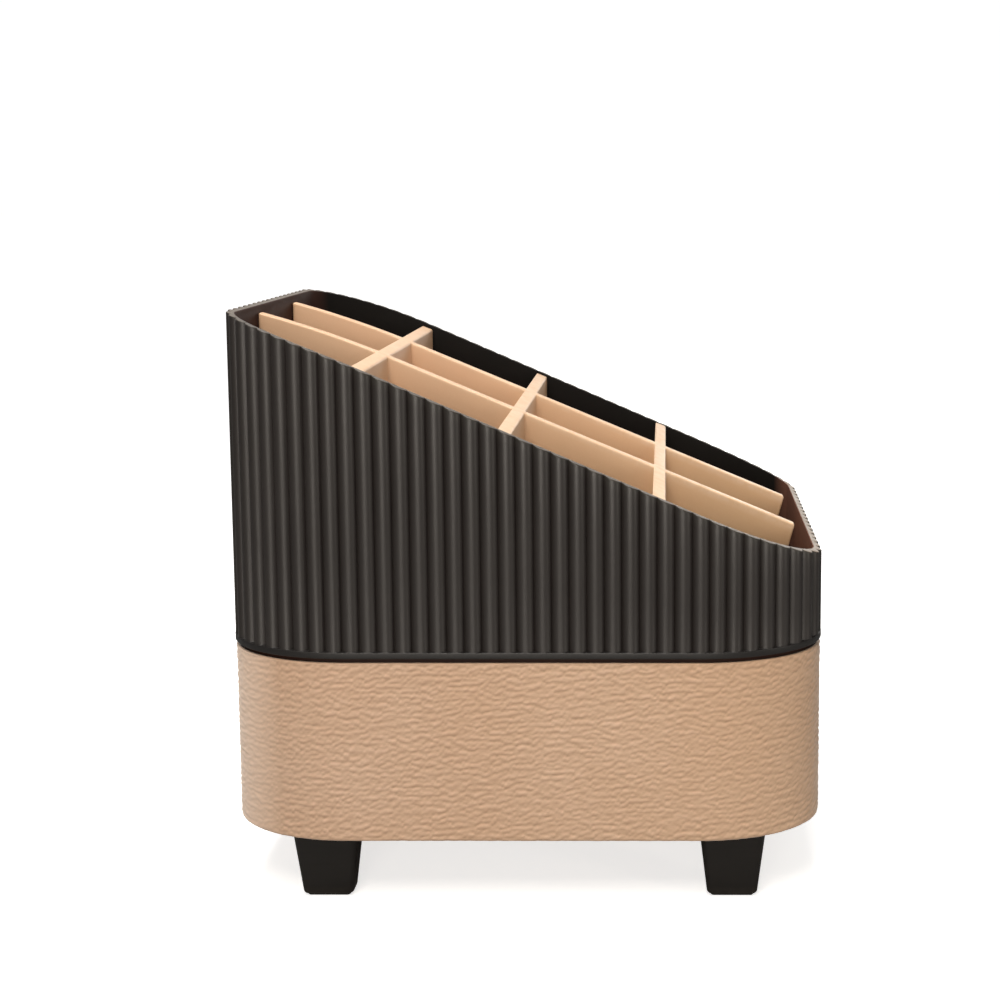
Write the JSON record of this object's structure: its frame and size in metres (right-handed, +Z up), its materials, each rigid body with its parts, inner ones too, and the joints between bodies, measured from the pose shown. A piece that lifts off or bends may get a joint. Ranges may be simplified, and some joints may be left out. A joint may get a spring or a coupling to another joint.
{
  "type": "brush holder with drawer",
  "caption": "Slant-topped ribbed brush holder with a moulded divider grid, standing on a leatherette-clad base with tapered feet and a small drawer in its low end.",
  "frame": {"origin": "on the table under the middle of the holder, level with the undersides of the foot pads", "axes": "+Z up; +X along the long side towards the low end, where the drawer opens; +Y towards the far long side"},
  "size_m": [0.2, 0.15, 0.1967],
  "materials": {
    "shell_black": "satin moulded plastic, vertical ribs",
    "divider_beige": "smooth satin moulded plastic",
    "leatherette": "beige grained leatherette with fine wavy wrinkles",
    "core_plastic": "plain moulded plastic, unseen inside",
    "foot_black": "satin black moulded plastic",
    "pad_rubber": "soft non-slip rubber",
    "screw_steel": "zinc-plated steel",
    "runner_plastic": "low-friction natural plastic",
    "tray_plastic": "satin black moulded plastic",
    "liner_felt": "short beige velvet pile",
    "front_board": "fibreboard, covered by leatherette"
  },
  "bodies": {
    "holder": {"base_core": "core_plastic", "base_deck": "core_plastic", "base_wrap": "leatherette", "ribbed_shell": "shell_black", "foot_near_high": "foot_black", "foot_near_low": "foot_black", "foot_far_high": "foot_black", "foot_far_low": "foot_black", "foot_pads": "pad_rubber", "foot_screws": "screw_steel", "shell_screws": "screw_steel", "runner_left": "runner_plastic", "runner_right": "runner_plastic", "drawer_stop": "runner_plastic", "stop_screw": "screw_steel"},
    "divider_grid": {"divider_insert": "divider_beige"},
    "drawer": {"drawer_tray": "tray_plastic", "drawer_liner": "liner_felt", "drawer_front_panel": "front_board", "drawer_front_wrap": "leatherette", "front_screws": "screw_steel"}
  },
  "joints": [
    {"name": "drawer_slide", "type": "slide", "parent": "holder", "child": "drawer", "axis": [1, 0, 0], "range_m": [0, 0.12]},
    {"name": "grid_lift", "type": "slide", "parent": "holder", "child": "divider_grid", "axis": [0, 0, 1], "range_m": [0, 0.11]}
  ]
}
